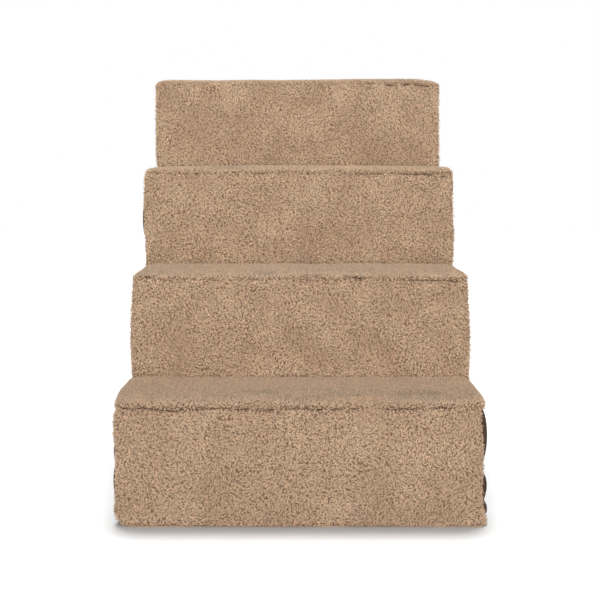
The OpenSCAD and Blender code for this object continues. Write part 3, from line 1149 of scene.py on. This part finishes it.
@dataclass
class SideCover(SuedePanel):
    """The suede side panel, sewn to the fleece along every step and to the back cover."""

    puckers: tuple[Pucker, ...] = ()
    reach: float = 34 * MM
    overhang: float = 2 * MM
    shoulder: float = 6 * MM
    tuck: float = 4 * MM
    tuck_reach: float = 12 * MM
    stitch_in: float = 7 * MM
    swell: float = 3.2 * MM

    def outline(self) -> tuple[list[float], list[float]]:
        """Lines of the sheet along Y and Z, on every riser and tread."""
        self.low, self.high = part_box(f"{self.name}_side_cover")
        self.faces = [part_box(f"riser_fleece_{k}")[1].y for k in range(1, STEPS + 1)] + [self.high.y]
        self.levels = [self.low.z] + [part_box(f"tread_fleece_{k}")[0].z for k in range(1, STEPS + 1)]
        return lined(self.faces, self.cell), lined(self.levels, self.cell)

    def on_stairs(self, y: float, z: float) -> bool:
        """Whether a point of the side view lies under its step."""
        step = max(k for k in range(STEPS) if y > self.faces[k])
        return z < self.levels[step + 1]

    def proud(self, y: float, z: float) -> float:
        """How far the puckers lift the panel just behind their risers."""
        lift = 0.0
        for pucker in self.puckers:
            back = y - self.faces[pucker.step - 1]
            if -self.cell / 10 < back < self.reach:
                round_off = roll(back + self.overhang, self.shoulder)
                lift += pucker.lift(z) * round_off * (1 - back / self.reach) ** 2
        return lift

    def seams(self) -> Runs:
        """Rows of topstitch just inside the panel's stepped edge and along its foot."""
        x, inset = self.side.value * (self.high - self.low).length, self.stitch_in
        low = self.low.z + inset
        rows = []
        for k in range(STEPS):
            front, back = self.faces[k] + inset, self.faces[k + 1] + (inset if k < STEPS - 1 else -inset)
            top = self.levels[k + 1] - inset
            foot = self.levels[k] - inset if k else low
            rows.append((Vector((x, front, foot)), Vector((x, front, top))))
            rows.append((Vector((x, front, top)), Vector((x, back, top))))
        rows.append((Vector((x, self.faces[0] + inset, low)), Vector((x, self.high.y - inset, low))))
        return rows

    def sew(self, finishes: Finishes) -> Sewn:
        """Cuts the stair shape and gives it its thickness and puckers.

        Args:
            finishes: the materials by name.

        Returns:
            The panel, how it slackens and the vertices that are held.
        """
        bm = grid_sheet(*self.outline())
        away = [f for f in bm.faces if not self.on_stairs(*f.calc_center_median().xy)]
        bmesh.ops.delete(bm, geom=away, context="FACES")
        sign = self.side.value
        outer, inner = (self.high.x, self.low.x) if sign > 0 else (self.low.x, self.high.x)
        for v in bm.verts:
            v.co = (outer, v.co.x, v.co.y)
        face, held = self.thicken(bm, 0, inner)
        for v in face:
            v.co.x += sign * self.proud(v.co.y, v.co.z)
        for v in bm.verts:
            near = max(0.0, 1 - (v.co.y - self.faces[0]) / self.reach)
            v.co.x -= sign * self.tuck * near * (1 - roll(v.co.z - self.low.z, self.tuck_reach))
        self.piece = add_object(f"suede_side_{self.name}", bm, finishes["suede"])
        return self.piece, Swell(cap=self.swell, shrink=self.shrink), held

    def dress(self, finishes: Finishes) -> None:
        """Topstitches the panel's edge and seats it."""
        steps = zip(self.faces, self.faces[1:], self.levels[1:])
        cut = sum((b - a) * (top - self.low.z) for a, b, top in steps)
        size = self.high - self.low
        self.finish("side", (size.y, size.z), cut, self.seams(), finishes["thread"])


@dataclass
class BackCover(SuedePanel):
    """One half of the suede back, with its edge folded in along the zip."""

    opening: float = 6.5 * MM
    fold: float = 6 * MM
    bead: float = 0.7 * MM
    dip: float = 0.6
    swell: float = 2.6 * MM

    def lip(self, x: float, z: float) -> float:
        """How far the folded edge stands up beside the zip: a soft bead with the stitch line beyond it."""
        off = abs(x) - self.opening
        if not self.foot < z < self.head or off > 2 * self.fold:
            return 0.0
        if off < self.fold:
            return self.bead * hump(off / self.fold)
        return -self.bead * self.dip * hump(off / self.fold - 1)

    def in_slot(self, x: float, z: float) -> bool:
        """Whether a point of the flat panel lies in the slot for the zip."""
        return x < self.opening and self.foot < z < self.head

    def sew(self, finishes: Finishes) -> Sewn:
        """Cuts the panel round the zip, folds its edge and gives it its thickness.

        Args:
            finishes: the materials by name.

        Returns:
            The panel, how it slackens and the vertices that are held.
        """
        self.low, self.high = low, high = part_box(f"back_cover_{self.name}")
        self.foot, self.head = (corner.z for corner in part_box(f"zip_tape_{self.name}"))
        beside = stations(high.x - low.x - self.opening, 2 * self.fold, 0, self.cell, arc=8)
        across = [0.0] + [self.opening + d for d in beside]
        bm = grid_sheet(across, lined([low.z, self.foot, self.head, high.z], self.cell))
        gap = [f for f in bm.faces if self.in_slot(*f.calc_center_median().xy)]
        bmesh.ops.delete(bm, geom=gap, context="FACES")
        for v in bm.verts:
            v.co = (self.side.value * v.co.x, high.y, v.co.y)
        face, held = self.thicken(bm, 1, low.y)
        for v in face:
            v.co.y += self.lip(v.co.x, v.co.z)
        held += [v.index for v in face if self.lip(v.co.x, v.co.z)]
        self.piece = add_object(f"suede_back_{self.name}", bm, finishes["suede"])
        return self.piece, Swell(cap=self.swell, shrink=self.shrink), sorted(set(held))

    def dress(self, finishes: Finishes) -> None:
        """Topstitches the folded edge, in the middle of the dip, and seats the panel."""
        size = self.high - self.low
        x, y = self.side.value * (self.opening + 1.5 * self.fold), self.high.y + 4 * self.fold
        rows = [(Vector((x, y, self.foot)), Vector((x, y, self.head)))]
        cut = size.x * size.z - self.opening * (self.head - self.foot)
        self.finish("back", (size.x, size.z), cut, rows, finishes["thread"])


@dataclass
class ElasticHem:
    """The elastic that gathers the cover's foot under the stairs."""

    corner: float = 9 * MM
    band: float = 8 * MM
    cut_width: float = 10 * MM
    thick: float = 0.8 * MM
    gather: float = 6.5 * MM
    ripple: float = 0.3 * MM
    ragged: float = 0.05
    drift: float = 3.0
    drift_rate: float = 9.0
    weld: float = 0.05 * MM
    cell: float = 1.1 * MM
    rows: int = 4

    def route(self, run: float) -> tuple[Vector, Vector]:
        """Place on the outer edge and inward direction at a distance round the rectangle."""
        r, sides = self.corner, [self.wide - 2 * self.corner, self.deep - 2 * self.corner] * 2
        bend = math.pi / 2 * r
        corner = [Vector((1, -1)), Vector((1, 1)), Vector((-1, 1)), Vector((-1, -1))]
        heading = 0.0
        for k, straight in enumerate(sides):
            turn = Matrix.Rotation(heading, 2)
            middle = Vector((corner[k].x * (self.wide / 2 - r), corner[k].y * (self.deep / 2 - r)))
            if run <= straight:
                return middle + turn @ Vector((run - straight, -r)), turn @ Vector((0, 1))
            run -= straight
            if run <= bend:
                out = turn @ Matrix.Rotation(run / r, 2) @ Vector((0, -1))
                return middle + out * r, -out
            run -= bend
            heading += math.pi / 2
        return self.route(0)

    def build(self, elastic: Material) -> None:
        """Lays the gathered band round the foot and gives it its thickness."""
        low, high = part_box("elastic_hem")
        self.wide, self.deep = high.x - low.x, high.y - low.y
        centre = (low + high) / 2
        round_it = 2 * (self.wide + self.deep) - 8 * self.corner + math.tau * self.corner
        count = round(round_it / self.cell)
        along = [round_it * i / count for i in range(count + 1)]
        bm = grid_sheet(along, [self.band * j / self.rows for j in range(self.rows + 1)])
        for v in bm.verts:
            run, inward = v.co.x % round_it, v.co.y
            spot, inside = self.route(run)
            drift = self.drift * noise.noise(Vector((run * self.drift_rate, 0, 0)))
            wave = math.sin(math.tau * run / self.gather + drift)
            spot += inside * inward * (1 + self.ragged * wave)
            z = high.z - self.thick / 2 - self.ripple * (1 + wave) * inward / self.band
            v.co = (centre.x + spot.x, centre.y + spot.y, z)
        bmesh.ops.remove_doubles(bm, verts=bm.verts, dist=self.weld)
        bmesh.ops.recalc_face_normals(bm, faces=bm.faces)
        bmesh.ops.solidify(bm, geom=bm.faces, thickness=self.thick)
        bmesh.ops.recalc_face_normals(bm, faces=bm.faces)
        piece = add_object("elastic_band", bm, elastic)
        seat_sheet(piece, "hem_elastic", "elastic_hem", (self.cut_width, round_it), held="gathered")


@dataclass
class ZipTape:
    """A woven tape beside the zip's teeth, with the beaded cord that the teeth are moulded on."""

    side: Side
    cord: float = 1.0 * MM
    bead: float = 0.15 * MM
    slack: float = 0.12 * MM
    sway: float = 40.0
    cell: float = 4 * MM
    columns: int = 6

    def build(self, webbing: Material) -> None:
        """Lays the tape flat behind the cover and thickens its inner edge."""
        name = self.side.name.lower()
        low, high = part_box(f"zip_tape_{name}")
        sign, width, height = self.side.value, high.x - low.x, high.z - low.z
        inner = min(abs(low.x), abs(high.x))
        count = round(height / self.cell)
        flat = [self.cord + (width - self.cord) * i / self.columns for i in range(1, self.columns + 1)]
        bm = grid_sheet([0, self.cord / 2, self.cord, *flat], [height * i / count for i in range(count + 1)])
        for v in bm.verts:
            raised = self.bead * hump(min(1.0, v.co.x / self.cord))
            slack = self.slack * math.sin(v.co.y * self.sway + sign) * min(1.0, v.co.x / width)
            v.co = (sign * (inner + v.co.x), high.y + raised + slack - self.slack, low.z + v.co.y)
        for v in add_back(bm):
            v.co.y -= high.y - low.y - self.slack
        bmesh.ops.recalc_face_normals(bm, faces=bm.faces)
        piece = add_object(f"woven_tape_{name}", bm, webbing)
        seat_sheet(piece, "zip_tape", f"zip_tape_{name}", (width, height), held="stretched")


@dataclass
class Casting:
    """A small cast or moulded part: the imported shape, merged and with its edges broken."""

    node: str
    body: str
    bevel: float
    slot: str
    sharp: float = math.radians(32)
    flat: float = math.radians(1)
    weld: float = 0.001 * MM

    def build(self, material: Material) -> None:
        """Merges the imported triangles, rounds the sharp edges and seats the piece."""
        bm = bmesh.new()
        bm.from_mesh(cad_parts[self.node].data)
        bmesh.ops.remove_doubles(bm, verts=bm.verts, dist=self.weld)
        bmesh.ops.dissolve_limit(bm, angle_limit=self.flat, verts=bm.verts, edges=bm.edges)
        edges = [e for e in bm.edges if e.is_manifold and e.calc_face_angle(0) > self.sharp]
        bmesh.ops.bevel(
            bm,
            geom=edges,
            offset=self.bevel,
            segments=2,
            profile=0.5,
            affect="EDGES",
            clamp_overlap=True,
            material=-1,
        )
        bmesh.ops.recalc_face_normals(bm, faces=bm.faces)
        seat(add_object(f"{self.node}_cast", bm, material), self.node, self.body)


@dataclass
class Studio:
    """A plain white sweep, soft lamps and the camera that took the photograph's view."""

    lens: float = 80.3
    eye: Vector = field(default_factory=lambda: Vector((-0.0098, -1.73, 0.384)))
    pitch: float = 1.46
    shift: Pair = (0.0157, -0.164)
    sky: float = 0.42
    seen_grey: float = 0.66
    thrown_grey: float = 0.2

    def camera(self) -> None:
        """Sets the camera, level across and turned slightly down."""
        data = bpy.data.cameras.new("camera")
        data.lens = self.lens
        data.shift_x, data.shift_y = self.shift
        camera = bpy.data.objects.new("camera", data)
        camera.location = self.eye
        camera.rotation_euler = (math.radians(90 - self.pitch), 0, 0)
        bpy.context.scene.collection.objects.link(camera)
        bpy.context.scene.camera = camera

    def lamp(self, name: str, towards: Vector, strength: float, spread: float) -> Object:
        """Adds one broad, far lamp, which lights the whole floor evenly.

        Args:
            name: its name.
            towards: the direction from the stairs to the lamp.
            strength: what it adds to a white surface that faces it.
            spread: the angle that it fills, in degrees.

        Returns:
            The lamp.
        """
        data = bpy.data.lights.new(name, "SUN")
        data.energy, data.angle = strength * math.pi, math.radians(spread)
        lamp = bpy.data.objects.new(name, data)
        lamp.rotation_euler = (-towards).to_track_quat("-Z", "Y").to_euler()
        bpy.context.scene.collection.objects.link(lamp)
        return lamp

    def seen(self, tree: NodeTree) -> NodeSocket:
        """1 on rays that see or mirror the background, and 0 on those that light the stairs."""
        rays = add_node(tree, "ShaderNodeLightPath").outputs
        shown = rays["Is Camera Ray"]
        for ray in ("Is Glossy Ray", "Is Transmission Ray"):
            shown = add_node(tree, "ShaderNodeMath", {0: shown, 1: rays[ray]}, operation="MAXIMUM").outputs[0]
        return shown

    def world(self) -> None:
        """Lights the scene evenly, and shows white wherever the background is seen or mirrored."""
        world = bpy.data.worlds.new("white")
        bpy.context.scene.world = world
        world.use_nodes = True
        tree = world.node_tree
        strength = add_node(tree, "ShaderNodeMapRange", {0: self.seen(tree), 3: self.sky, 4: 1.0})
        set_inputs(tree, tree.nodes["Background"], {"Color": (1, 1, 1, 1), "Strength": strength})

    def floor(self, back: Object) -> None:
        """A floor that a lamp of its own lifts to white, so that the stairs shade it only at their foot.

        Args:
            back: the lamp from behind, which lights only the floor.
        """
        bm = bmesh.new()
        bmesh.ops.create_grid(bm, x_segments=1, y_segments=1, size=6.0)
        made, tree, shader = start_material("white_sweep", Roughness=0.9, Specular_IOR_Level=0.0)
        greys = {0: self.seen(tree), 3: self.thrown_grey, 4: self.seen_grey}
        grey = add_node(tree, "ShaderNodeMapRange", greys)
        grey = add_node(tree, "ShaderNodeCombineColor", {0: grey, 1: grey, 2: grey})
        set_inputs(tree, shader, {"Base Color": grey})
        floor = add_object("floor", bm, made)
        lit = bpy.data.collections.new("lit_from_behind")
        lit.objects.link(floor)
        back.light_linking.receiver_collection = lit

    def build(self) -> None:
        """Sets the view, the light and the floor."""
        scene = bpy.context.scene
        scene.view_settings.view_transform = "Standard"
        self.camera()
        self.world()
        self.lamp("softbox", towards=Vector((0, -1.0, 0.13)), strength=1.0, spread=50)
        self.floor(self.lamp("overhead", towards=Vector((0, 0.42, 1.0)), strength=1.7, spread=32))


def main() -> None:
    """Builds every sub-assembly in order and reports each piece."""
    Studio().build()
    finishes = {
        "pile": FleecePile().material(),
        "knit": KnitBacking().material(),
        "suede": FauxSuede().material(),
        "thread": SpunThread().material(),
        "overlock": SpunThread("spun_overlock_thread", "5A4232").material(),
        "elastic": RibbedTextile("knitted_elastic", "33281F", "57483C", 1.6, "X").material(),
        "tape": RibbedTextile("woven_zip_tape", "372B23", "57463A", 0.9, "DIAGONAL").material(),
        "acetal": MouldedPlastic("moulded_acetal", "33241C", "3D2C22", 0.4).material(),
        "zinc": PaintedZinc().material(),
        "frame": MouldedPlastic("moulded_polypropylene", "E6E3DE", "DCD8D1", 0.5).material(),
        "rubber": MouldedPlastic("moulded_rubber", "2B2A29", "353433", 0.8, bump_mm=0.08).material(),
    }
    by_slot = {"frame_plastic": "frame", "foot_rubber": "rubber", "zip_teeth": "acetal", "zip_metal": "zinc"}
    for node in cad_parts.values():
        slot = node.data.materials[0].name
        if slot in by_slot:
            node.data.materials[0] = finishes[by_slot[slot]]
    curls = Curls()
    curls.prepare(finishes["pile"])
    puckers = {
        Side.LEFT: ((66, 92, 4.6), (26, 68, 5.2), (6, 26, 5.0), (290, 346, 6.0, 3)),
        Side.RIGHT: ((68, 124, 6.8), (26, 57, 6.6), (6, 27, 7.2), (346, 373, 5.4, 3)),
    }
    pads = fleece_panels()
    covers = []
    for side, rows in puckers.items():
        covers += [SideCover(side, puckers=tuple(Pucker(*row) for row in rows)), BackCover(side)]
    fill_out([panel.sew(finishes) for panel in (*pads, *covers)])
    for riser, tread in zip(pads[::2], pads[1::2]):
        NosingSeam(riser, tread).build(finishes["overlock"])
    for pad in pads:
        pad.dress(curls)
    for cover in covers:
        cover.dress(finishes)
    for side in Side:
        ZipTape(side).build(finishes["tape"])
    ElasticHem().build(finishes["elastic"])
    Casting("zip_slider", "zip_slider", 0.25 * MM, "zip_metal").build(finishes["zinc"])
    Casting("zip_pull", "zip_pull", 0.3 * MM, "zip_metal").build(finishes["zinc"])


if __name__ == "__main__":
    main()
